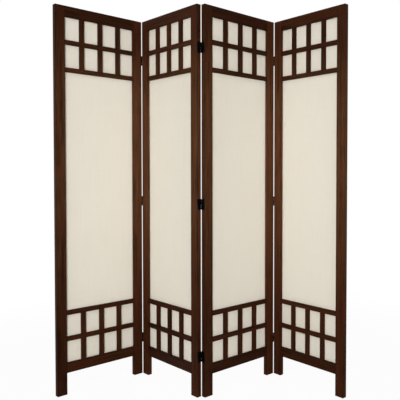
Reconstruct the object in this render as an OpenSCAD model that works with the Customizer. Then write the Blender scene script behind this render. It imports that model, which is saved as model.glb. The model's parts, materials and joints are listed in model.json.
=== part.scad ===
// Folding room divider: four fabric panels in wooden frames, joined by two-way screen hinges.
// Millimetres. X runs along the screen, Y points away from the viewer and Z up.
// Each panel is drawn in its own frame: x along its width, y from its front face (0) back, z up.

/* [Screen] */
// Width of one panel, outside its stiles
panel_w = 446; // [360:1:600]
// Height of one panel, floor to top edge
panel_h = 1784; // [1500:1:2100]
// Thickness of the frame wood
panel_t = 21; // [18:0.5:24]
// Angle between the first and second panels as the screen stands
fold_angle_1 = 91; // [30:0.5:150]
// Angle between the second and third panels
fold_angle_2 = 90.5; // [30:0.5:150]
// Angle between the third and fourth panels
fold_angle_3 = 89.5; // [30:0.5:150]

/* [Frame] */
// Width of each stile
stile_w = 47.5; // [36:0.5:65]
// Height of the top rail
top_rail_h = 49.5; // [36:0.5:70]
// Height of the bottom rail
bottom_rail_h = 46.5; // [36:0.5:70]
// Height of the feet below the bottom rail
foot_h = 100; // [60:1:160]
// Radius of the eased outer edges of the frame
arris_r = 1; // [0.9:0.1:1.2]
// Radius of the eased edges round the opening and inside the feet
inner_arris_r = 1; // [0.5:0.1:2]
// Radius of the rounded outer corners of the stiles
corner_r = 4; // [2:0.5:8]
// Radius of the rounded inner corners of the feet
foot_corner_r = 3; // [1:0.5:6]
// Length of the rail tenons
tenon_l = 24; // [15:1:30]
// Thickness of the rail tenons
tenon_t = 7; // [5:0.5:8]
// Shoulder that the rail tenons leave above and below
tenon_shoulder = 7; // [4:0.5:12]

/* [Lattice] */
// Height of the crossbars and of the lattice bars
bar_h = 21; // [14:0.5:30]
// Width of the lattice uprights
upright_w = 21; // [12:0.5:30]
// Height of an upper pane
upper_pane_h = 104; // [70:0.5:140]
// Height of a lower pane
lower_pane_h = 100.5; // [70:0.5:140]
// Panes side by side in a row
panes_across = 4; // [2:1:6]
// Radius of the eased front edges of the lattice and of the crossbars
lattice_arris_r = 0.6; // [0.3:0.1:1]
// Length of the stub tenons on the crossbars
bar_stub_l = 12; // [6:1:20]
// Length of the stub tenons on the lattice bars and uprights
lattice_stub_l = 6; // [3:1:10]
// Thickness of all stub tenons
stub_t = 5; // [4:0.5:7]

/* [Fabric] */
// Depth of the fabric behind the front face
fabric_recess = 12.5; // [11:0.5:13.5]
// Thickness of the fabric
fabric_t = 0.7; // [0.5:0.1:1.2]
// Width of the rebate that holds the fabric at the back of the frame
rebate_w = 8; // [6:0.5:12]
// Play of the fabric and of its beads in the rebate
rebate_play = 0.1; // [0.05:0.05:0.3]

/* [Hinges] */
// Gap between two panels when the screen is opened flat
hinge_gap = 2.4; // [2.4:0.1:4]
// Distance of the pin axes outside the panel faces
pin_out = 0.8; // [0.8:0.1:1.5]
// Radius of the pins
pin_r = 0.85; // [0.7:0.05:0.95]
// Radial running clearance between pins and knuckles
pin_clear = 0.05; // [0.03:0.01:0.1]
// Outer radius of the knuckles
knuckle_r = 1.6; // [1.5:0.05:1.65]
// Height of a hinge leaf
leaf_h = 50; // [50:1:70]
// Height of the stacked knuckles of a hinge
barrel_h = 46; // [36:1:46]
// Thickness of a hinge leaf
leaf_t = 0.7; // [0.5:0.1:0.7]
// Thickness of a link plate
link_t = 0.6; // [0.5:0.1:0.7]
// Gap between knuckles, one above the other
knuckle_gap = 0.25; // [0.15:0.05:0.5]
// Clearance round the knuckles for the plates that pass them
knuckle_relief = 0.3; // [0.2:0.05:0.5]
// Radius of the pin heads
pin_head_r = 1.4; // [1.2:0.1:1.5]
// Height of the pin heads
pin_head_h = 0.8; // [0.5:0.1:1.2]
// Height of the lower hinges over the floor
low_hinge_z = 186; // [150:1:320]
// Height of the middle hinges over the floor
mid_hinge_z = 883; // [600:1:1200]
// Distance of the upper hinges from the top edge
top_hinge_drop = 194; // [100:1:320]
// Distance between the two screws of a leaf
screw_pitch = 34; // [24:1:36]
// Length of the hinge screws
screw_l = 16; // [10:1:20]
// Radius of the screw shank
screw_r = 1.4; // [1:0.1:1.6]
// Radius of the screw head
screw_head_r = 2.8; // [2.4:0.1:3.2]
// Height of the countersunk screw head
screw_head_h = 1.7; // [1.2:0.1:2]

/* [Hidden] */
$fn = 32;
panels = 4;
joints = panels - 1;
glue_play = 0.05;
end_play = 0.5;
screw_play = 0.05;
slot_w = 0.6;
slot_depth = 0.7;
leaf_corner_r = 1.5;
over = 1;

wood = [0.31, 0.19, 0.12];
bead_wood = [0.34, 0.21, 0.14];
cloth = [0.88, 0.84, 0.77];
black = [0.03, 0.03, 0.03];
dark_steel = [0.12, 0.12, 0.13];

// Openings and levels of one panel
inner_w = panel_w - 2 * stile_w;
open_lo = foot_h + bottom_rail_h;
open_hi = panel_h - top_rail_h;
lower_bar_z = open_lo + lower_pane_h;
lower_cross_z = lower_bar_z + bar_h + lower_pane_h;
upper_bar_z = open_hi - upper_pane_h - bar_h;
upper_cross_z = upper_bar_z - upper_pane_h - bar_h;
pane_w = (inner_w - (panes_across - 1) * upright_w) / panes_across;
tenon_y = (fabric_recess - tenon_t) / 2;
stub_y = (fabric_recess - stub_t) / 2;
bead_w = rebate_w - 2 * rebate_play;
bead_y = fabric_recess + fabric_t + 2 * rebate_play;

// Hinge levels, and the knuckles of one half of a hinge
hinge_levels = [low_hinge_z, mid_hinge_z, panel_h - top_hinge_drop];
knuckle_l = barrel_h / 6 - knuckle_gap;
front_pin_y = -pin_out;
back_pin_y = panel_t + pin_out;
plate_start = knuckle_r - pin_out + knuckle_relief;
leaf_x = hinge_gap / 2 - leaf_t;
knuckle_bore_r = pin_r + pin_clear;

// Places of the panels as the screen stands, each folded on its pins from the second panel
half_fold = (180 - fold_angle_2) / 2;
yaw = [180 - fold_angle_1 - half_fold, -half_fold, half_fold, half_fold - 180 + fold_angle_3];
function turn(a, p) = [p[0] * cos(a) - p[1] * sin(a), p[0] * sin(a) + p[1] * cos(a)];
right_pin_x = panel_w + hinge_gap / 2;
left_pin_x = -hinge_gap / 2;
origin_2 = -turn(yaw[1], [right_pin_x, back_pin_y]);
origin_3 = -turn(yaw[2], [left_pin_x, back_pin_y]);
origin_1 = origin_2 + turn(yaw[1], [left_pin_x, front_pin_y]) - turn(yaw[0], [right_pin_x, front_pin_y]);
origin_4 = origin_3 + turn(yaw[2], [right_pin_x, front_pin_y]) - turn(yaw[3], [left_pin_x, front_pin_y]);
origins = [origin_1, origin_2, origin_3, origin_4];

// Middle of the box round the screen, from its rounded panel corners and its knuckles seen from above
function standing(i, p) = origins[i] + turn(yaw[i], p);
rounds = concat(
    [for (i = [0 : panels - 1]) for (x = [arris_r, panel_w - arris_r]) for (y = [arris_r, panel_t - arris_r])
        [standing(i, [x, y]), arris_r]],
    [for (i = [0 : joints - 1]) for (y = [front_pin_y, back_pin_y]) [standing(i, [right_pin_x, y]), knuckle_r]],
    [for (i = [1 : panels - 1]) for (y = [front_pin_y, back_pin_y]) [standing(i, [left_pin_x, y]), knuckle_r]]
);
function box_middle(axis) =
    (min([for (c = rounds) c[0][axis] - c[1]]) + max([for (c = rounds) c[0][axis] + c[1]])) / 2;
middle = [box_middle(0), box_middle(1)];

PANEL_PIECES = [
    "left_stile", "right_stile", "top_rail", "bottom_rail", "upper_crossbar", "lower_crossbar",
    "upper_lattice", "lower_lattice", "fabric", "back_beads", "hinge_pins", "hinge_screws"
];
HINGE_PIECES = ["left_leaf", "right_leaf", "upper_link", "lower_link"];
function panel_node(i, piece) = str("panel", i + 1, "_", piece);
function hinge_node(j, piece) = str("hinge", j + 1, j + 2, "_", piece);

// Puts a piece drawn in a panel's own frame where panel i stands
module on_panel(i) {
    at = origins[i] - middle;
    translate([at[0], at[1], 0]) rotate([0, 0, yaw[i]]) children();
}

// Rectangle from the origin with its corners eased: near left, near right, far right, far left
module eased(w, h, r) {
    difference() {
        square([w, h]);
        spandrel(r[0]);
        translate([w, 0]) rotate(90) spandrel(r[1]);
        translate([w, h]) rotate(180) spandrel(r[2]);
        translate([0, h]) rotate(270) spandrel(r[3]);
    }
}

// What easing cuts away from the corner of a square that lies on +x and +y
module spandrel(r) {
    if (r > 0)
        difference() {
            translate([-over, -over]) square(r + over);
            translate([r, r]) circle(r);
        }
}

// A 2D shape in x and z, made solid from y0 to y1
module upright_plate(y0, y1) {
    translate([0, y1, 0]) rotate([90, 0, 0]) linear_extrude(y1 - y0) children();
}

// A bar along x, its section eased in y and z
module bar_along_x(l, d, h, r) {
    rotate([90, 0, 90]) linear_extrude(l) eased(d, h, r);
}

module left_stile(i) {
    color(wood) on_panel(i) stile_body(i > 0);
}

// The same stile turned end for side: its outer edge is the panel's right edge
module right_stile(i) {
    color(wood) on_panel(i) translate([panel_w, 0, 0]) mirror([1, 0, 0]) stile_body(i < panels - 1);
}

// A stile with its outer edge at x = 0, and screw holes there where it carries hinges
module stile_body(hinged) {
    difference() {
        intersection() {
            linear_extrude(panel_h) eased(stile_w, panel_t, [arris_r, 0, 0, arris_r]);
            upright_plate(-over, panel_t + over)
                eased(stile_w, panel_h, [corner_r, foot_corner_r, 0, corner_r]);
            rotate([90, 0, 90]) linear_extrude(stile_w)
                eased(panel_t, panel_h, [arris_r, arris_r, arris_r, arris_r]);
        }
        inner_edge(open_lo, open_hi);
        inner_edge(-over, foot_h);
        translate([0, panel_t, 0]) mirror([0, 1, 0]) inner_edge(-over, foot_h);
        mortise(open_hi + tenon_shoulder, panel_h - tenon_shoulder, tenon_l + end_play, tenon_y, tenon_t);
        mortise(foot_h + tenon_shoulder, open_lo - rebate_w, tenon_l + end_play, tenon_y, tenon_t);
        for (z = [lower_cross_z, upper_cross_z])
            mortise(z, z + bar_h, bar_stub_l + end_play, stub_y, stub_t);
        for (z = [lower_bar_z, upper_bar_z])
            mortise(z, z + bar_h, lattice_stub_l + end_play, stub_y, stub_t);
        translate([stile_w - rebate_w, fabric_recess, open_lo - rebate_w])
            cube([rebate_w + over, panel_t, open_hi - open_lo + 2 * rebate_w]);
        if (hinged)
            for (z = hinge_levels) leaf_screws_at(z) screw(screw_play);
    }
}

// What easing cuts from the front inner edge of a stile between z0 and z1
module inner_edge(z0, z1) {
    translate([stile_w, 0, z0]) rotate([0, 0, 90]) linear_extrude(z1 - z0) spandrel(inner_arris_r);
}

// A mortise in the inner edge of a stile, for a tenon between z0 and z1
module mortise(z0, z1, depth, y, t) {
    translate([stile_w - depth, y - glue_play, z0 - glue_play])
        cube([depth + over, t + 2 * glue_play, z1 - z0 + 2 * glue_play]);
}

module top_rail(i) {
    color(wood) on_panel(i) translate([stile_w, 0, open_hi]) difference() {
        union() {
            bar_along_x(inner_w, panel_t, top_rail_h, [inner_arris_r, 0, arris_r, arris_r]);
            rail_tenon(tenon_shoulder, top_rail_h - tenon_shoulder);
        }
        rail_rebate(-over);
        upright_sockets(-over);
    }
}

module bottom_rail(i) {
    color(wood) on_panel(i) translate([stile_w, 0, foot_h]) difference() {
        union() {
            bar_along_x(inner_w, panel_t, bottom_rail_h, [arris_r, arris_r, 0, inner_arris_r]);
            rail_tenon(tenon_shoulder, bottom_rail_h - rebate_w);
        }
        rail_rebate(bottom_rail_h - rebate_w);
        upright_sockets(bottom_rail_h - lattice_stub_l - end_play);
    }
}

// One tenon through the length of a rail shows at both of its ends
module rail_tenon(z0, z1) {
    translate([-tenon_l, tenon_y, z0]) cube([inner_w + 2 * tenon_l, tenon_t, z1 - z0]);
}

// Rebate for the fabric along the back of a rail, cut from height z0 out past the rail's edge
module rail_rebate(z0) {
    translate([-over, fabric_recess, z0]) cube([inner_w + 2 * over, panel_t, rebate_w + over]);
}

// Sockets for the stub tenons of the lattice uprights, cut the same way
module upright_sockets(z0) {
    for (k = [1 : panes_across - 1])
        translate([upright_x(k) - glue_play, stub_y - glue_play, z0])
            cube([upright_w + 2 * glue_play, stub_t + 2 * glue_play, lattice_stub_l + end_play + over]);
}

// Left side of upright k, from the inner edge of the left stile
function upright_x(k) = k * (pane_w + upright_w) - upright_w;

module upper_crossbar(i) {
    color(wood) on_panel(i) crossbar_body(upper_cross_z, bar_h - lattice_stub_l - end_play);
}

module lower_crossbar(i) {
    color(wood) on_panel(i) crossbar_body(lower_cross_z, -over);
}

// A crossbar with stub tenons in the stiles and sockets for the uprights from height socket_z
module crossbar_body(z, socket_z) {
    translate([stile_w, 0, z]) difference() {
        union() {
            bar_along_x(inner_w, fabric_recess, bar_h, [lattice_arris_r, 0, 0, lattice_arris_r]);
            translate([-bar_stub_l, stub_y, 0]) cube([inner_w + 2 * bar_stub_l, stub_t, bar_h]);
        }
        upright_sockets(socket_z);
    }
}

module upper_lattice(i) {
    color(wood) on_panel(i) lattice_body(upper_cross_z + bar_h, upper_bar_z, open_hi);
}

module lower_lattice(i) {
    color(wood) on_panel(i) lattice_body(open_lo, lower_bar_z, lower_cross_z);
}

// A lattice bar at height bar_z and the uprights from z0 to z1, halved into each other
module lattice_body(z0, bar_z, z1) {
    translate([stile_w, 0, 0]) {
        translate([0, 0, bar_z]) difference() {
            union() {
                bar_along_x(inner_w, fabric_recess, bar_h, [lattice_arris_r, 0, 0, lattice_arris_r]);
                translate([-lattice_stub_l, stub_y, 0])
                    cube([inner_w + 2 * lattice_stub_l, stub_t, bar_h]);
            }
            for (k = [1 : panes_across - 1])
                translate([upright_x(k) - glue_play, fabric_recess / 2, -over])
                    cube([upright_w + 2 * glue_play, fabric_recess, bar_h + 2 * over]);
        }
        for (k = [1 : panes_across - 1])
            translate([upright_x(k), 0, 0]) difference() {
                union() {
                    translate([0, 0, z0]) linear_extrude(z1 - z0)
                        eased(upright_w, fabric_recess, [lattice_arris_r, lattice_arris_r, 0, 0]);
                    translate([0, stub_y, z0 - lattice_stub_l])
                        cube([upright_w, stub_t, z1 - z0 + 2 * lattice_stub_l]);
                }
                translate([-over, -over, bar_z - glue_play])
                    cube([upright_w + 2 * over, fabric_recess / 2 + glue_play + over, bar_h + 2 * glue_play]);
            }
    }
}

module fabric(i) {
    color(cloth) on_panel(i)
        translate([stile_w - bead_w, fabric_recess + rebate_play, open_lo - bead_w])
            cube([inner_w + 2 * bead_w, fabric_t, open_hi - open_lo + 2 * bead_w]);
}

// Four mitred beads close the rebate behind the fabric
module back_beads(i) {
    x0 = stile_w - bead_w;
    x1 = stile_w + inner_w + bead_w;
    z0 = open_lo - bead_w;
    z1 = open_hi + bead_w;
    b = bead_w;
    g = rebate_play;
    color(bead_wood) on_panel(i) {
        bead([[x0, z0 + g], [x0 + b, z0 + b + g], [x0 + b, z1 - b - g], [x0, z1 - g]]);
        bead([[x1, z0 + g], [x1, z1 - g], [x1 - b, z1 - b - g], [x1 - b, z0 + b + g]]);
        bead([[x0 + g, z0], [x1 - g, z0], [x1 - b - g, z0 + b], [x0 + b + g, z0 + b]]);
        bead([[x0 + g, z1], [x0 + b + g, z1 - b], [x1 - b - g, z1 - b], [x1 - g, z1]]);
    }
}

module bead(outline) {
    upright_plate(bead_y, panel_t) polygon(outline);
}

// Hinges are drawn between two panels that lie flat: x = 0 in the middle of the gap, z = 0 at mid height

// Puts a hinge piece on the right edge of panel i
module on_right_edge(i) {
    on_panel(i) for (z = hinge_levels) translate([right_pin_x, 0, z]) children();
}

// Puts a hinge piece on the left edge of panel i
module on_left_edge(i) {
    on_panel(i) for (z = hinge_levels) translate([left_pin_x, 0, z]) children();
}

// Turns a hinge piece half round the middle of the gap, to serve the other panel
module other_way_round() {
    translate([0, panel_t, 0]) rotate([0, 0, 180]) children();
}

// A hinge half hangs below the middle as its mirror image stands above it
module lower_half() {
    mirror([0, 0, 1]) children();
}

// Height of knuckle k of the upper half: 0 and 2 belong to a leaf, 1 to the link
function knuckle_z(k) = knuckle_gap + k * (knuckle_l + knuckle_gap);

module knuckle(k, y) {
    translate([0, y, knuckle_z(k)]) cylinder(r = knuckle_r, h = knuckle_l);
}

module knuckle_bores(y) {
    translate([0, y, -leaf_h]) cylinder(r = knuckle_bore_r, h = 2 * leaf_h);
}

// Leaf of the left panel: its upper knuckles are at the front and its lower ones at the back
module leaf_body() {
    difference() {
        union() {
            leaf_plate();
            leaf_knuckles();
            lower_half() translate([0, panel_t, 0]) mirror([0, 1, 0]) leaf_knuckles();
        }
        knuckle_bores(front_pin_y);
        knuckle_bores(back_pin_y);
        translate([left_pin_x, 0, 0]) mirror([1, 0, 0]) leaf_screws() screw(screw_play);
    }
}

// The flat plate of a leaf, screwed to the edge of the stile
module leaf_plate() {
    r = leaf_corner_r;
    translate([-leaf_x - leaf_t, plate_start, -leaf_h / 2])
        bar_along_x(leaf_t, panel_t - 2 * plate_start, leaf_h, [r, r, r, r]);
}

// The two outer front knuckles of an upper half, each on a tab of the plate
module leaf_knuckles() {
    for (k = [0, 2]) {
        knuckle(k, front_pin_y);
        translate([-leaf_x - leaf_t, 0, knuckle_z(k)]) cube([leaf_t, plate_start + over, knuckle_l]);
    }
}

// Link of an upper half: a plate in the gap, with a middle knuckle on each pin
module link_body() {
    difference() {
        union() {
            translate([-link_t / 2, plate_start, knuckle_gap])
                cube([link_t, panel_t - 2 * plate_start, knuckle_z(2) + knuckle_l - knuckle_gap]);
            translate([-link_t / 2, front_pin_y, knuckle_z(1)])
                cube([link_t, back_pin_y - front_pin_y, knuckle_l]);
            knuckle(1, front_pin_y);
            knuckle(1, back_pin_y);
        }
        knuckle_bores(front_pin_y);
        knuckle_bores(back_pin_y);
    }
}

// Pin of an upper half, with its head on the top knuckle
module pin_body(y) {
    top = knuckle_z(2) + knuckle_l;
    translate([0, y, knuckle_gap]) cylinder(r = pin_r, h = top - knuckle_gap);
    translate([0, y, top]) cylinder(r = pin_head_r, h = pin_head_h);
}

// The two screw places on the left edge of a panel, the screw axis pointing into the wood
module leaf_screws() {
    for (s = [-1, 1])
        translate([-leaf_t, panel_t / 2, s * screw_pitch / 2]) rotate([0, 90, 0]) children();
}

module leaf_screws_at(z) {
    translate([0, 0, z]) leaf_screws() children();
}

// A countersunk screw along +z, its head flush with z = 0; play widens it into a hole
module screw(play) {
    cylinder(r1 = screw_head_r + play, r2 = screw_r + play, h = screw_head_h);
    translate([0, 0, -play]) cylinder(r = screw_r + play, h = screw_l + 2 * play);
    if (play > 0)
        translate([0, 0, -over]) cylinder(r = screw_head_r + play, h = over);
}

module slotted_screw() {
    difference() {
        screw(0);
        translate([-slot_w / 2, -screw_head_r - over, -over])
            cube([slot_w, 2 * screw_head_r + 2 * over, slot_depth + over]);
    }
}

module hinge_pins(i) {
    color(black) {
        if (i < panels - 1)
            on_right_edge(i) {
                pin_body(front_pin_y);
                lower_half() pin_body(back_pin_y);
            }
        if (i > 0)
            on_left_edge(i) {
                pin_body(back_pin_y);
                lower_half() pin_body(front_pin_y);
            }
    }
}

module hinge_screws(i) {
    color(dark_steel) on_panel(i) for (z = hinge_levels) {
        if (i < panels - 1)
            translate([panel_w, 0, 0]) mirror([1, 0, 0]) leaf_screws_at(z) slotted_screw();
        if (i > 0)
            leaf_screws_at(z) slotted_screw();
    }
}

// Hinge j joins panel j to panel j + 1, counted from 0
module left_leaf(j) {
    color(black) on_right_edge(j) leaf_body();
}

module right_leaf(j) {
    color(black) on_left_edge(j + 1) other_way_round() leaf_body();
}

// Folded at the front, the upper link stays on the right panel; folded at the back, on the left one
module upper_link(j) {
    color(black)
        if (j % 2 == 0) on_left_edge(j + 1) link_body();
        else on_right_edge(j) link_body();
}

module lower_link(j) {
    color(black)
        if (j % 2 == 0) on_right_edge(j) lower_half() link_body();
        else on_left_edge(j + 1) lower_half() link_body();
}

for (i = [0 : panels - 1]) {
    left_stile(i);
    right_stile(i);
    top_rail(i);
    bottom_rail(i);
    upper_crossbar(i);
    lower_crossbar(i);
    upper_lattice(i);
    lower_lattice(i);
    fabric(i);
    back_beads(i);
    hinge_pins(i);
    hinge_screws(i);
}
for (j = [0 : joints - 1]) {
    left_leaf(j);
    right_leaf(j);
    upper_link(j);
    lower_link(j);
}
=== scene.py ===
"""Looks of a folding room divider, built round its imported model.

Metres. X runs along the screen, Y points away from the viewer and Z up. What belongs to one panel is
given in that panel's own frame: x along its width from the left edge, y back from its front face, z up.
"""
import json
import math

import bpy
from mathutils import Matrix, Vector, noise


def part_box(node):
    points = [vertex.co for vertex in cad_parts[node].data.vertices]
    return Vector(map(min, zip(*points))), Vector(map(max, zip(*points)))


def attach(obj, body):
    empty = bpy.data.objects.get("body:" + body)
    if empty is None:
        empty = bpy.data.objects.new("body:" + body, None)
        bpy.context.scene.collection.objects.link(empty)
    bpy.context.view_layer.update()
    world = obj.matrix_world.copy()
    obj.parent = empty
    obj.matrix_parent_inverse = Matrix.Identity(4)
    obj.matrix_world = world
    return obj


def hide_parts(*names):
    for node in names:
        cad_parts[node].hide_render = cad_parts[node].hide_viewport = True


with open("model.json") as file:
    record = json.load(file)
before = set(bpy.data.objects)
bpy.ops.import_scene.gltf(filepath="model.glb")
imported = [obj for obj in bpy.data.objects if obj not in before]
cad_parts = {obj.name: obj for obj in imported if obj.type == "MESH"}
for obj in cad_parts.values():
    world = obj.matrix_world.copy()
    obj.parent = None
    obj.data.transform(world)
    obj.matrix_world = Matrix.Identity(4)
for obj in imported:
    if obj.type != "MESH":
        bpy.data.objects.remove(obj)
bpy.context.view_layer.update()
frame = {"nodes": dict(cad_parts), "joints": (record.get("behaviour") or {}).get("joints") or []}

UP = Vector((0, 0, 1))
PANELS = 4
PANES = 4
MM = 0.001

# Camera, fitted to the panel edges in the photograph
PHOTO_PX = 400
FOCAL_PX = 551.7
AXIS_RIGHT_PX = 64.5
AXIS_ABOVE_PX = 12.9
SENSOR_MM = 36
CAMERA_FROM_MIDDLE_HINGES = (0.2869, -2.5028)
CAMERA_HEIGHT = 1.0267
CAMERA_TILT_DOWN = 1.492
CAMERA_ROLL = 0.105

# Light
AMBIENT = 0.15
FLOOR_REACH = 30
FLOOR_COLOUR = (0.92, 0.92, 0.92)
FLOOR_WHITENING = 0.95
FLOOR_SHADOW_REACH = (1.1, 2.6)

# Softboxes: place, width, height and watts; each faces LAMP_AIM
LAMP_AIM = (0, 0, 0.95)
LAMPS = {
    "key": ((-0.12, -6.0, 1.1), 1.15, 1.0, 175),
    "top_light": ((-0.2, -4.4, 4.4), 1.2, 0.8, 55),
    "left_fill": ((-2.3, -3.1, 1.3), 0.7, 0.9, 18.4),
    "right_fill": ((2.3, -3.1, 1.3), 0.7, 0.9, 17.4),
    "back_light": ((0.8, 6.0, 2.2), 1.5, 1.3, 170),
}

# Finishes, as linear colours
WOOD_DARK = (0.0345, 0.0116, 0.0044)
WOOD_MID = (0.069, 0.0288, 0.0122)
WOOD_LIGHT = (0.107, 0.0485, 0.0220)
WOOD_RED = (0.084, 0.0262, 0.0115)
# Tint of the painted shade towards the top and the feet, and of the darkening along the arrises
PAINTED_SHADE_AND_ARRIS_TINT = (0.47, 0.345, 0.31)
WOOD_SHEEN = (1.0, 0.72, 0.5)
CLOTH_LIGHT = (0.80, 0.752, 0.653)
CLOTH_DARK = (0.70, 0.647, 0.545)
LACQUER = (0.0012, 0.0012, 0.0015)
SCREW_BLACK = (0.004, 0.004, 0.0045)
BRAD_STEEL = (0.20, 0.15, 0.10)


# Shader graphs

class Value:
    """A socket on which Python's operators add Math nodes."""

    def __init__(self, graph, socket):
        self.graph = graph
        self.socket = socket

    def math(self, operation, *others):
        return self.graph.math(operation, self, *others)

    def __add__(self, other):
        return self.math("ADD", other)

    __radd__ = __add__

    def __sub__(self, other):
        return self.math("SUBTRACT", other)

    def __rsub__(self, other):
        return self.graph.math("SUBTRACT", other, self)

    def __mul__(self, other):
        return self.math("MULTIPLY", other)

    __rmul__ = __mul__

    def __truediv__(self, other):
        return self.math("DIVIDE", other)

    def __mod__(self, other):
        return self.math("FLOORED_MODULO", other)

    def __abs__(self):
        return self.math("ABSOLUTE")

    def __gt__(self, other):
        return self.math("GREATER_THAN", other)

    def __lt__(self, other):
        return self.math("LESS_THAN", other)

    def least(self, other):
        return self.math("MINIMUM", other)

    def most(self, other):
        return self.math("MAXIMUM", other)


# Noise wavers about this value
NOISE_MIDDLE = 0.5


class Graph:
    """The node tree of a material or of the world."""

    def __init__(self, tree):
        tree.nodes.clear()
        self.tree = tree

    def add(self, kind, settings, sockets, output=0):
        """Adds a node: its settings first, then its sockets' values or links. Returns one of its outputs."""
        node = self.tree.nodes.new(kind)
        for key, setting in settings.items():
            if key == "stops":
                self.set_stops(node.color_ramp, setting)
            else:
                setattr(node, key, setting)
        for key, value in sockets.items():
            if isinstance(value, Value):
                self.tree.links.new(value.socket, node.inputs[key])
            else:
                node.inputs[key].default_value = value
        return Value(self, node.outputs[output]) if node.outputs else None

    def set_stops(self, ramp, stops):
        while len(ramp.elements) < len(stops):
            ramp.elements.new(1)
        for element, (place, colour) in zip(ramp.elements, stops):
            element.position = place
            element.color = (*colour, 1)

    def math(self, operation, *values):
        return self.add("ShaderNodeMath", {"operation": operation}, dict(enumerate(values)))

    def vector(self, x, y, z):
        return self.add("ShaderNodeCombineXYZ", {}, {0: x, 1: y, 2: z})

    def noise(self, vector, detail, roughness=0.5):
        sockets = {"Vector": vector, "Scale": 1, "Detail": detail, "Roughness": roughness}
        return self.add("ShaderNodeTexNoise", {}, sockets)

    def rise(self, value, start, end):
        """0 up to start, 1 from end on, and a smooth rise between them."""
        sockets = {"Value": value, "From Min": start, "From Max": end}
        return self.add("ShaderNodeMapRange", {"interpolation_type": "SMOOTHSTEP"}, sockets)

    def mix(self, factor, a, b, how="MIX"):
        """A colour between a and b."""
        a, b = (c if isinstance(c, Value) else (*c, 1) for c in (a, b))
        settings = {"data_type": "RGBA", "blend_type": how}
        return self.add("ShaderNodeMix", settings, {0: factor, 6: a, 7: b}, output=2)

    def choose(self, factor, a, b):
        """A number between a and b."""
        return self.add("ShaderNodeMix", {}, {0: factor, 2: a, 3: b})

    def bump(self, height, distance, strength):
        sockets = {"Height": height, "Distance": distance, "Strength": strength}
        return self.add("ShaderNodeBump", {}, sockets)

    def finish(self, shader, kind="ShaderNodeOutputMaterial"):
        self.add(kind, {}, {"Surface": shader})


def new_material(name):
    material = bpy.data.materials.new(name)
    material.use_nodes = True
    return material, Graph(material.node_tree)


# Objects

def add_object(name, data):
    """Puts a new object into the scene."""
    thing = bpy.data.objects.new(name, data)
    bpy.context.scene.collection.objects.link(thing)
    return thing


def add_mesh(name, points, faces, material):
    """Puts a mesh of one material into the scene."""
    mesh = bpy.data.meshes.new(name)
    mesh.from_pydata(points, [], faces)
    mesh.materials.append(material)
    return add_object(name, mesh)


# Panels, read from the frame

def reach(node, direction):
    """Lowest and highest place of a CAD node along a direction."""
    along = [v.co.dot(direction) for v in frame["nodes"][node].data.vertices]
    return min(along), max(along)


def centre(node):
    low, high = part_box(node)
    return (low + high) / 2


class Panel:
    """One panel of the screen, its directions and its sizes."""

    def __init__(self, number):
        self.number = number
        self.name = f"panel{number}"
        self.body = f"panel_{number}"
        left, right = self.node("left_stile"), self.node("right_stile")
        self.across = (centre(right) - centre(left)).normalized()
        self.back = UP.cross(self.across)
        self.left = reach(left, self.across)[0]
        self.front = reach(left, self.back)[0]
        self.width = reach(right, self.across)[1] - self.left
        self.stile = reach(left, self.across)[1] - self.left

    def node(self, piece):
        return f"{self.name}_{piece}"

    def span(self, piece):
        """Low and high x, y and z of one of the panel's CAD nodes."""
        x = [c - self.left for c in reach(self.node(piece), self.across)]
        y = [c - self.front for c in reach(self.node(piece), self.back)]
        return (*x, *y, *reach(self.node(piece), UP))

    def place(self, x, y, z):
        """A point of the panel's frame, in the frame of the screen."""
        return self.across * (self.left + x) + self.back * (self.front + y) + UP * z

    def coordinates(self, graph):
        """The panel's x, y and z at the shaded point."""
        point = graph.add("ShaderNodeTexCoord", {}, {}, "Object")

        def along(direction):
            settings = {"operation": "DOT_PRODUCT"}
            return graph.add("ShaderNodeVectorMath", settings, {0: point, 1: direction}, "Value")

        return along(self.across) - self.left, along(self.back) - self.front, along(UP)


# Wood

# Heights between which the wood has no painted shade, and those beyond which its painted shade is deepest:
# painted shade darkens the wood towards the top and the feet, leaving it palest at about eye height where
# the light falls strongest
UNSHADED_FROM = 1.15
UNSHADED_TO = 1.3
FULL_SHADE_BELOW = 0.15
FULL_SHADE_ABOVE = 1.75

# How deep the painted shade gets at the top, where 1 is its depth at the feet
TOP_SHADE_SHARE = 0.9

# How pale each board is painted, in panels 1 to 4: partly each board's own take of the stain, partly painted
# light, as the stiles at the valley folds are painted paler to make up for the shade that falls in the folds
STAIN_AND_PAINTED_LIGHT_BY_BOARD = {
    "left_stile": (0.8, 1.3, 0.9, 1.3),
    "right_stile": (1.2, 1.05, 1.35, 1.05),
    "top_rail": (0.65, 1.05, 0.6, 0.95),
    "bottom_rail": (1.0, 0.7, 0.65, 0.8),
    "upper_crossbar": (0.85, 0.85, 0.55, 0.7),
    "lower_crossbar": (0.85, 0.8, 0.75, 1.2),
    "upper_lattice": (0.8, 1.0, 0.65, 0.7),
    "lower_lattice": (1.1, 0.85, 0.95, 1.0),
}
PLAIN_SHADES = (1, 1, 1, 1)

# Steps that keep the grain of one board from that of another
SEED_BY_PANEL = 3.7
SEED_BY_LENGTH = 0.31
SEED_BY_LETTERS = 0.17

# Slow wandering of the grain and blotches of stain: waves in a metre, along the grain and across it
DRIFT_WAVES = (1.6, 9)
BLOTCH_WAVES = (9, 16)

# Streaks of the grain: width, length, detail, and an offset that keeps one kind from another
BROAD_STREAKS = (16 * MM, 420 * MM, 2, 1.3)
MIDDLE_STREAKS = (5 * MM, 150 * MM, 3, 5.1)
FINE_STREAKS = (1.1 * MM, 60 * MM, 3, 9.7)
PORES = (0.45 * MM, 11 * MM, 1, 3.9)
STREAK_ROUGHNESS = 0.55
GRAIN_WANDER = 14 * MM

# Shares of the streaks in the tone of the wood
BROAD_SHARE = 0.34
MIDDLE_SHARE = 0.36
FINE_SHARE = 0.18
BLOTCH_SHARE = 0.12

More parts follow.
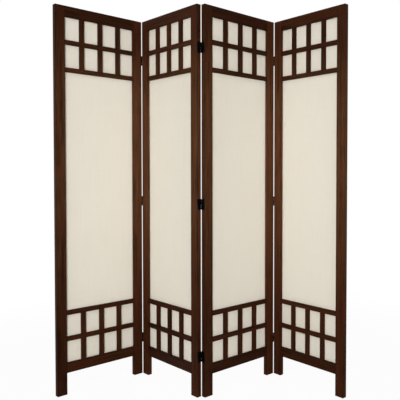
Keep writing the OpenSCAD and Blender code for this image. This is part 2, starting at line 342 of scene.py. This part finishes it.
# Where the noise behind a mark begins to show and where it shows in full, and how deep the mark goes
RED_RISE = (0.68, 0.86)
RED_DEPTH = 0.5
PORE_RISE = (0.60, 0.70)
PORE_DEPTH = 0.55
RUBBED_RISE = (0.6, 0.9)
RUBBED_DEPTH = 0.35
ARRIS_DARKENING_DEPTH = 0.5
CRACK_DEPTH = 0.8

# How much of the streaks goes into the place of a mark
BROAD_IN_RED = 0.5
FINE_IN_RUBBED = 0.4
BROAD_IN_PAINTED_SHADE = 0.4

# Distances from an arris or a joint between which a mark fades out
ARRIS_DARKENING_FADE = (1.0 * MM, 5.0 * MM)
RUBBED_FADE = (0.4 * MM, 1.4 * MM)
CRACK_FADE = (0.1 * MM, 0.5 * MM)

# A distance at which no joint shows
NO_JOINT = 1

WOOD_TONE_STOPS = (0.4, 0.5, 0.6)
WOOD_SPECULAR = 0.035
WOOD_ROUGHNESS = 0.52
MIDDLE_IN_ROUGHNESS = 0.22
PORE_IN_ROUGHNESS = 0.12
RUBBED_IN_ROUGHNESS = -0.08

# Height and strength of the relief, and what goes into it
WOOD_RELIEF = (0.12 * MM, 0.8)
FINE_IN_RELIEF = 0.5
MIDDLE_IN_RELIEF = 0.4
PORE_IN_RELIEF = -0.35
CRACK_IN_RELIEF = -2


def distance_inside(value, low, high):
    """How far a value lies from the nearer of two ends."""
    return (value - low).least(high - value)


def grain_seed(panel, piece):
    """A number of its own for each board, so that no two have the same grain."""
    seed = SEED_BY_PANEL * panel.number + SEED_BY_LENGTH * len(piece)
    return seed + SEED_BY_LETTERS * sum(map(ord, piece))


def wood_material(panel, piece, lay):
    """Dark walnut stain on one piece. lay(graph, x, y, z) gives the place along and across the grain, the
    distance to the nearest arris and the distance to the nearest joint."""
    material, graph = new_material(f"{panel.name}_{piece}_wood")
    # Each board's paleness, partly its own stain and partly painted light
    shade = STAIN_AND_PAINTED_LIGHT_BY_BOARD.get(piece, PLAIN_SHADES)[panel.number - 1]
    tones = (WOOD_DARK, WOOD_MID, WOOD_LIGHT, WOOD_RED)
    dark, mid, light, red = (tuple(c * shade for c in tone) for tone in tones)
    x, y, z = panel.coordinates(graph)
    along, side, arris, seam = lay(graph, x, y, z)
    seed = grain_seed(panel, piece)

    slow, quick = DRIFT_WAVES
    drift = graph.noise(graph.vector(along * slow, side * quick + seed, y * quick), 2)
    side = side + (drift - NOISE_MIDDLE) * GRAIN_WANDER

    def streaks(width, length, detail, offset):
        """Noise drawn out along the grain, in streaks of about this width and length."""
        vector = graph.vector(side / width + seed, y / width + offset, along / length + seed)
        return graph.noise(vector, detail, STREAK_ROUGHNESS)

    broad = streaks(*BROAD_STREAKS)
    middle = streaks(*MIDDLE_STREAKS)
    fine = streaks(*FINE_STREAKS)
    pores = streaks(*PORES)
    slow, quick = BLOTCH_WAVES
    blotch = graph.noise(graph.vector(along * slow + seed, side * quick, y * quick), 3)

    tone = broad * BROAD_SHARE + middle * MIDDLE_SHARE + fine * FINE_SHARE + blotch * BLOTCH_SHARE
    stops = list(zip(WOOD_TONE_STOPS, (dark, mid, light)))
    colour = graph.add("ShaderNodeValToRGB", {"stops": stops}, {0: tone})
    reddish = graph.rise(blotch + broad * BROAD_IN_RED, *RED_RISE)
    colour = graph.mix(reddish * RED_DEPTH, colour, red)

    pore = graph.rise(pores, *PORE_RISE)
    colour = graph.mix(pore * PORE_DEPTH, colour, dark)
    # Darker within a few millimetres of each arris
    darker_near_arris = 1 - graph.rise(arris, *ARRIS_DARKENING_FADE)
    colour = graph.mix(darker_near_arris * ARRIS_DARKENING_DEPTH, colour, PAINTED_SHADE_AND_ARRIS_TINT, "MULTIPLY")
    high_spots = graph.rise(blotch + fine * FINE_IN_RUBBED, *RUBBED_RISE)
    rubbed = (1 - graph.rise(arris, *RUBBED_FADE)) * high_spots
    colour = graph.mix(rubbed * RUBBED_DEPTH, colour, light)

    # Painted shade: darker towards the top and the feet, palest at about eye height
    low_painted_shade = graph.rise(z, UNSHADED_FROM, FULL_SHADE_BELOW)
    high_painted_shade = graph.rise(z, UNSHADED_TO, FULL_SHADE_ABOVE) * TOP_SHADE_SHARE
    deep = low_painted_shade + high_painted_shade + (broad - NOISE_MIDDLE) * BROAD_IN_PAINTED_SHADE
    colour = graph.mix(deep.least(1), colour, PAINTED_SHADE_AND_ARRIS_TINT, "MULTIPLY")
    crack = 1 - graph.rise(seam, *CRACK_FADE)
    colour = graph.mix(crack * CRACK_DEPTH, colour, dark)

    roughness = WOOD_ROUGHNESS + (middle - NOISE_MIDDLE) * MIDDLE_IN_ROUGHNESS
    relief = fine * FINE_IN_RELIEF + middle * MIDDLE_IN_RELIEF
    sockets = {
        "Base Color": colour,
        "Roughness": roughness + pore * PORE_IN_ROUGHNESS + rubbed * RUBBED_IN_ROUGHNESS,
        "Specular IOR Level": WOOD_SPECULAR,
        "Specular Tint": (*WOOD_SHEEN, 1),
        "Normal": graph.bump(relief + pore * PORE_IN_RELIEF + crack * CRACK_IN_RELIEF, *WOOD_RELIEF),
    }
    graph.finish(graph.add("ShaderNodeBsdfPrincipled", {}, sockets))
    return material


def upright_lay(panel, piece):
    """Grain that runs up a stile. The nearest arris is where the two nearest faces meet, so its distance
    is the middle one of the three."""
    x0, x1, y0, y1, z0, z1 = panel.span(piece)

    def lay(graph, x, y, z):
        dx = distance_inside(x, x0, x1)
        dy = distance_inside(y, y0, y1)
        dz = distance_inside(z, z0, z1)
        arris = dx.least(dy).most(dx.most(dy).least(dz))
        return z, x, arris, dx + NO_JOINT

    return lay


def level_lay(panel, piece):
    """Grain that runs along a rail or a crossbar, which meets the stiles at both ends."""
    _, _, y0, y1, z0, z1 = panel.span(piece)

    def lay(graph, x, y, z):
        arris = distance_inside(y, y0, y1).most(distance_inside(z, z0, z1))
        return x, z, arris, distance_inside(x, panel.stile, panel.width - panel.stile)

    return lay


def lattice_lay(panel, piece):
    """Grain that runs up the uprights of a lattice and along its bar, which covers them where they
    cross. Both are as wide as a crossbar is high, being cut from one stock."""
    *_, crossbar_foot, crossbar_top = panel.span("upper_crossbar")
    bar_w = crossbar_top - crossbar_foot
    _, _, y0, y1, z0, z1 = panel.span(piece)
    middle = (z0 + z1) / 2
    opening = panel.width - 2 * panel.stile
    pitch = (opening + bar_w) / PANES

    def lay(graph, x, y, z):
        dz = bar_w / 2 - abs(z - middle)
        from_upright = abs((x - panel.stile + bar_w / 2 + pitch / 2) % pitch - pitch / 2)
        dx = bar_w / 2 - from_upright
        in_bar = dz > 0
        dy = distance_inside(y, y0, y1)
        arris = dy.most(graph.choose(in_bar, dx, dz))
        end = distance_inside(x, panel.stile, panel.width - panel.stile)
        above_or_below_bar = dz * -1
        seam = graph.choose(in_bar, above_or_below_bar, end)
        return graph.choose(in_bar, z, x), graph.choose(in_bar, x, z), arris, seam

    return lay


def bead_lay(panel, piece):
    """Grain that runs along each of four mitred beads."""
    x0, x1, y0, y1, z0, z1 = panel.span(piece)

    def lay(graph, x, y, z):
        dx = distance_inside(x, x0, x1)
        dz = distance_inside(z, z0, z1)
        in_end = dz < dx
        edge = dx.least(dz)
        arris = edge.most(distance_inside(y, y0, y1))
        return graph.choose(in_end, z, x), graph.choose(in_end, x, z), arris, abs(dx - dz)

    return lay


# Cloth

CLOTH_COLUMNS = 28
CLOTH_ROWS = 120
CLOTH_T = 0.42 * MM

# How far the cloth gives in the middle of the large field, and how evenly it does so up and down
CLOTH_BELLY = 0.7 * MM
BELLY_FULLNESS = 0.5

# Uneven pull of the cloth: waves in a metre, depth, and the step from panel to panel
PULLS_ACROSS = 22
PULLS_UP = 9
PULL_DEPTH = 0.5
PULL_STEP = 3.1

THREAD = 0.62 * MM
THREAD_FLAT = 0.55
THREAD_ROUND = 0.45
WARP_SWAY = 2 * MM
WEFT_SWAY = 3 * MM

# Waves in a metre, across and up, and the step of the noise from panel to panel
SWAY_WAVES = (8, 3)
CLOUD_WAVES = (5, 4)
CLOTH_STEP = 5.3

# Width and height of the thicker threads that show here and there
UP_SLUB = (2.6 * MM, 160 * MM)
LEVEL_SLUB = (120 * MM, 2.2 * MM)
SLUB_ROUGHNESS = 0.6
LEVEL_SLUB_OFFSET = 7

# Shares of the thicker threads, the cloudiness and the weave in the tone of the cloth; the weave's share
# paints the hollows between the threads darker, as painted shade
UP_SLUB_SHARE = 0.34
LEVEL_SLUB_SHARE = 0.22
CLOUD_SHARE = 0.12
THREAD_SHADE_SHARE = 0.4
CLOTH_TONE_RISE = (0.2, 0.8)

CLOTH_ROUGHNESS = 0.92
CLOTH_SPECULAR = 0.12
CLOTH_SHEEN = 0.12
CLOTH_SHEEN_ROUGHNESS = 0.5

# Height and strength of the relief, and what the thicker threads add to it
CLOTH_RELIEF = (0.12 * MM, 0.7)
SLUBS_IN_RELIEF = 0.8


def cloth_material(panel):
    """Plain woven natural cotton, in which warp and weft lie on top in turn, as on a chessboard. Some
    threads are thicker, and the whole is faintly cloudy."""
    material, graph = new_material(f"{panel.name}_cloth")
    x, y, z = panel.coordinates(graph)
    seed = CLOTH_STEP * panel.number
    across, up = SWAY_WAVES
    sway = graph.noise(graph.vector(x * across, z * up, seed), 2) - NOISE_MIDDLE
    warp_place = (x + sway * WARP_SWAY) / THREAD
    weft_place = (z + sway * WEFT_SWAY) / THREAD
    warp_part, weft_part = warp_place % 1, weft_place % 1
    warp = (warp_part * math.pi).math("SINE")
    weft = (weft_part * math.pi).math("SINE")
    weft_on_top = ((warp_place - warp_part + weft_place - weft_part) % 2) > 0.5
    warp_over = warp * (THREAD_FLAT + weft * THREAD_ROUND)
    weft_over = weft * (THREAD_FLAT + warp * THREAD_ROUND)
    thread = graph.choose(weft_on_top, warp_over, weft_over)

    def slub(width, height, offset):
        """Noise in thick places of about this width and height."""
        vector = graph.vector(x / width + seed, z / height, seed + offset)
        return graph.noise(vector, 3, SLUB_ROUGHNESS)

    up_slub = slub(*UP_SLUB, 0)
    level_slub = slub(*LEVEL_SLUB, LEVEL_SLUB_OFFSET)
    across, up = CLOUD_WAVES
    cloud = graph.noise(graph.vector(x * across + seed, z * up, seed), 3)
    slubs = up_slub * UP_SLUB_SHARE + level_slub * LEVEL_SLUB_SHARE
    # The weave adds painted shade: the hollows between the threads are darker than their crests
    tone = slubs + cloud * CLOUD_SHARE + thread * THREAD_SHADE_SHARE
    colour = graph.mix(graph.rise(tone, *CLOTH_TONE_RISE), CLOTH_DARK, CLOTH_LIGHT)
    relief = thread + (up_slub + level_slub) * SLUBS_IN_RELIEF
    sockets = {
        "Base Color": colour,
        "Roughness": CLOTH_ROUGHNESS,
        "Specular IOR Level": CLOTH_SPECULAR,
        "Sheen Weight": CLOTH_SHEEN,
        "Sheen Roughness": CLOTH_SHEEN_ROUGHNESS,
        "Normal": graph.bump(relief, *CLOTH_RELIEF),
    }
    graph.finish(graph.add("ShaderNodeBsdfPrincipled", {}, sockets))
    return material


def belly(across, along, open_start, open_end):
    """How far the stretched cloth gives towards the back, as a share, at a place given from 0 to 1."""
    if not open_start < along < open_end:
        return 0
    up = (along - open_start) / (open_end - open_start)
    return math.sin(math.pi * across) * math.sin(math.pi * up) ** BELLY_FULLNESS


def stretched_cloth(panel):
    """The cloth of one panel, stretched over the back of the crossbars and held in the rebate."""
    x0, x1, y0, y1, z0, z1 = panel.span("fabric")
    *_, lower_bar_top = panel.span("lower_crossbar")
    *_, upper_bar_foot, _ = panel.span("upper_crossbar")
    open_start, open_end = ((z - z0) / (z1 - z0) for z in (lower_bar_top, upper_bar_foot))
    points, faces = [], []
    for row in range(CLOTH_ROWS + 1):
        for column in range(CLOTH_COLUMNS + 1):
            u, v = column / CLOTH_COLUMNS, row / CLOTH_ROWS
            x, z = x0 + u * (x1 - x0), z0 + v * (z1 - z0)
            give = belly(u, v, open_start, open_end)
            pull = noise.noise(Vector((x * PULLS_ACROSS, z * PULLS_UP, panel.number * PULL_STEP)))
            y = (y0 + y1) / 2 + CLOTH_BELLY * give * (1 + PULL_DEPTH * pull)
            points.append(panel.place(x, y, z))
    for row in range(CLOTH_ROWS):
        for column in range(CLOTH_COLUMNS):
            first = row * (CLOTH_COLUMNS + 1) + column
            above = first + CLOTH_COLUMNS + 1
            faces.append((first, first + 1, above + 1, above))
    cloth = add_mesh(f"{panel.name}_cloth", points, faces, cloth_material(panel))
    cloth.data.shade_smooth()
    solid = cloth.modifiers.new("thickness", "SOLIDIFY")
    solid.thickness = CLOTH_T
    solid.offset = 0
    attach(cloth, panel.body)
    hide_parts(panel.node("fabric"))
    rests_on = [panel.node("upper_crossbar"), panel.node("lower_crossbar"), panel.node("back_beads")]
    x1 - x0
    z1 - z0


# Brads in the beads

BRAD_R = 0.9 * MM
BRAD_H = 0.3 * MM
BRAD_SUNK = 0.15 * MM
BRAD_PITCH = 0.125
BRAD_SIDES = 12
FROM_CORNER_UP = 45 * MM
FROM_CORNER_ACROSS = 55 * MM

# Rings of a head: share of its radius, and height over the bead
BRAD_RINGS = ((1.0, -BRAD_SUNK), (1.0, 0.35 * BRAD_H), (0.72, 0.8 * BRAD_H))


def brad_places(low, high, from_corner):
    """Evenly spaced places between two corners, a little away from both."""
    count = max(2, round((high - low - 2 * from_corner) / BRAD_PITCH) + 1)
    step = (high - low - 2 * from_corner) / (count - 1)
    return [low + from_corner + step * k for k in range(count)]


def brads(panel):
    """Domed heads of the brads that hold the beads."""
    x0, x1, _, y1, z0, z1 = panel.span("back_beads")
    bead_w = panel.stile - x0
    middle = bead_w / 2
    up = brad_places(z0, z1, FROM_CORNER_UP)
    across = brad_places(x0, x1, FROM_CORNER_ACROSS)
    centres = [(x, z) for x in (x0 + middle, x1 - middle) for z in up]
    centres += [(x, z) for z in (z0 + middle, z1 - middle) for x in across]
    points, faces = [], []
    for x, z in centres:
        first = len(points)
        for share, height in BRAD_RINGS:
            for k in range(BRAD_SIDES):
                a = 2 * math.pi * k / BRAD_SIDES
                r = BRAD_R * share
                points.append(panel.place(x + r * math.cos(a), y1 + height, z + r * math.sin(a)))
        top = len(points)
        points.append(panel.place(x, y1 + BRAD_H, z))
        ring = range(BRAD_SIDES)
        for level in range(len(BRAD_RINGS) - 1):
            low = first + level * BRAD_SIDES
            faces += [(low + (k + 1) % BRAD_SIDES, low + k, low + k + BRAD_SIDES,
                       low + (k + 1) % BRAD_SIDES + BRAD_SIDES) for k in ring]
        last = first + (len(BRAD_RINGS) - 1) * BRAD_SIDES
        faces += [(last + (k + 1) % BRAD_SIDES, last + k, top) for k in ring]
        faces.append(tuple(first + k for k in ring))
    heads = add_mesh(f"{panel.name}_brads", points, faces, metal_material("brad_steel"))
    heads.data.shade_smooth()
    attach(heads, panel.body)


# Metal

# Colour, metallic share and roughness of each finish
METAL_FINISHES = {
    "black_lacquer": (LACQUER, 0, 0.4),
    "black_screw": (SCREW_BLACK, 0.6, 0.38),
    "brad_steel": (BRAD_STEEL, 0.9, 0.42),
}
METAL_SPECULAR = 0.04
ORANGE_PEEL_SCALE = 900
SMUDGE_SCALE = 60
SMUDGE_RISE = (0.56, 0.72)
SMUDGE_IN_ROUGHNESS = 0.3

# Worn places are a little paler than the finish, by a factor and a lift
WORN_GAIN = 1.8
WORN_LIFT = 0.0005
WORN_DEPTH = 0.6

# Height and strength of the relief
METAL_RELIEF = (0.03 * MM, 0.5)

metals = {}


def metal_material(name):
    """Painted or bare steel with faint unevenness, made once for each finish."""
    if name not in metals:
        colour, metallic, roughness = METAL_FINISHES[name]
        material, graph = new_material(name)
        point = graph.add("ShaderNodeTexCoord", {}, {}, "Object")
        peel_sockets = {"Vector": point, "Scale": ORANGE_PEEL_SCALE, "Detail": 2}
        smudge_sockets = {"Vector": point, "Scale": SMUDGE_SCALE, "Detail": 4}
        orange_peel = graph.add("ShaderNodeTexNoise", {}, peel_sockets)
        smudge = graph.add("ShaderNodeTexNoise", {}, smudge_sockets)
        rubbed = graph.rise(smudge, *SMUDGE_RISE)
        worn = tuple(c * WORN_GAIN + WORN_LIFT for c in colour)
        sockets = {
            "Base Color": graph.mix(rubbed * WORN_DEPTH, colour, worn),
            "Metallic": metallic,
            "Roughness": roughness + (smudge - NOISE_MIDDLE) * SMUDGE_IN_ROUGHNESS,
            "Specular IOR Level": METAL_SPECULAR,
            "Normal": graph.bump(orange_peel, *METAL_RELIEF),
        }
        graph.finish(graph.add("ShaderNodeBsdfPrincipled", {}, sockets))
        metals[name] = material
    return metals[name]


# Dressing of the CAD nodes

def dress(node, material):
    """Gives a CAD node its finish."""
    mesh = frame["nodes"][node].data
    mesh.materials.clear()
    mesh.materials.append(material)


def dress_panel(panel):
    """Gives all CAD nodes of a panel but its fabric their finish."""
    lays = {
        "left_stile": upright_lay(panel, "left_stile"),
        "right_stile": upright_lay(panel, "right_stile"),
        "back_beads": bead_lay(panel, "back_beads"),
    }
    for piece in ("top_rail", "bottom_rail", "upper_crossbar", "lower_crossbar"):
        lays[piece] = level_lay(panel, piece)
    for piece in ("upper_lattice", "lower_lattice"):
        lays[piece] = lattice_lay(panel, piece)
    for piece, lay in lays.items():
        dress(panel.node(piece), wood_material(panel, piece, lay))
    dress(panel.node("hinge_pins"), metal_material("black_lacquer"))
    dress(panel.node("hinge_screws"), metal_material("black_screw"))


def dress_hinges():
    """Gives the leaves and links of all hinges their finish."""
    for node in frame["nodes"]:
        if node.startswith("hinge"):
            dress(node, metal_material("black_lacquer"))


# Studio

def seen_directly(graph):
    """1 for what the camera sees straight, in a reflection or through something clear, else 0."""
    kinds = ("Camera", "Glossy", "Transmission")
    rays = [graph.add("ShaderNodeLightPath", {}, {}, f"Is {kind} Ray") for kind in kinds]
    straight, mirrored, through = rays
    return straight.most(mirrored).most(through)


def make_world():
    """White where it is seen, and an even, weaker white as light."""
    world = bpy.data.worlds.new("studio")
    bpy.context.scene.world = world
    world.use_nodes = True
    graph = Graph(world.node_tree)
    strength = AMBIENT + seen_directly(graph) * (1 - AMBIENT)
    background = graph.add("ShaderNodeBackground", {}, {"Color": (1, 1, 1, 1), "Strength": strength})
    graph.finish(background, "ShaderNodeOutputWorld")


def make_floor():
    """A pale floor that keeps a soft shadow under the feet."""
    material, graph = new_material("floor")
    paint = graph.add("ShaderNodeBsdfDiffuse", {}, {"Color": (*FLOOR_COLOUR, 1)})
    white = graph.add("ShaderNodeEmission", {}, {"Strength": 1.0})
    place = graph.add("ShaderNodeTexCoord", {}, {}, "Object")
    away = graph.add("ShaderNodeVectorMath", {"operation": "LENGTH"}, {0: place}, "Value")
    whitening = FLOOR_WHITENING + graph.rise(away, *FLOOR_SHADOW_REACH) * (1 - FLOOR_WHITENING)
    share = seen_directly(graph) * whitening
    graph.finish(graph.add("ShaderNodeMixShader", {}, {0: share, 1: paint, 2: white}))
    r = FLOOR_REACH
    corners = [(-r, -r, 0), (r, -r, 0), (r, r, 0), (-r, r, 0)]
    add_mesh("floor", corners, [(0, 1, 2, 3)], material)


def make_lamps():
    """Rectangular studio lamps that face the screen, and don't show themselves."""
    for name, (place, width, height, watts) in LAMPS.items():
        lamp = bpy.data.lights.new(name, "AREA")
        lamp.shape = "RECTANGLE"
        lamp.size, lamp.size_y = width, height
        lamp.energy = watts
        holder = add_object(name, lamp)
        holder.location = place
        holder.visible_camera = False
        facing = Vector(LAMP_AIM) - Vector(place)
        holder.rotation_euler = facing.to_track_quat("-Z", "Y").to_euler()


def make_camera():
    """The photograph's view, placed from the axis of the middle joint."""
    joint = next(j for j in frame["joints"] if j["name"] == "fold_2")["pos_m"]
    data = bpy.data.cameras.new("camera")
    data.sensor_width = SENSOR_MM
    data.lens = SENSOR_MM * FOCAL_PX / PHOTO_PX
    data.shift_x = -AXIS_RIGHT_PX / PHOTO_PX
    data.shift_y = -AXIS_ABOVE_PX / PHOTO_PX
    camera = add_object("camera", data)
    right, back = CAMERA_FROM_MIDDLE_HINGES
    camera.location = (joint[0] + right, joint[1] + back, CAMERA_HEIGHT)
    camera.rotation_euler = (math.radians(90 - CAMERA_TILT_DOWN), math.radians(-CAMERA_ROLL), 0)
    bpy.context.scene.camera = camera


make_camera()
make_world()
make_floor()
make_lamps()
for number in range(1, PANELS + 1):
    panel = Panel(number)
    dress_panel(panel)
    stretched_cloth(panel)
    brads(panel)
dress_hinges()
bpy.context.scene.view_settings.view_transform = "Standard"
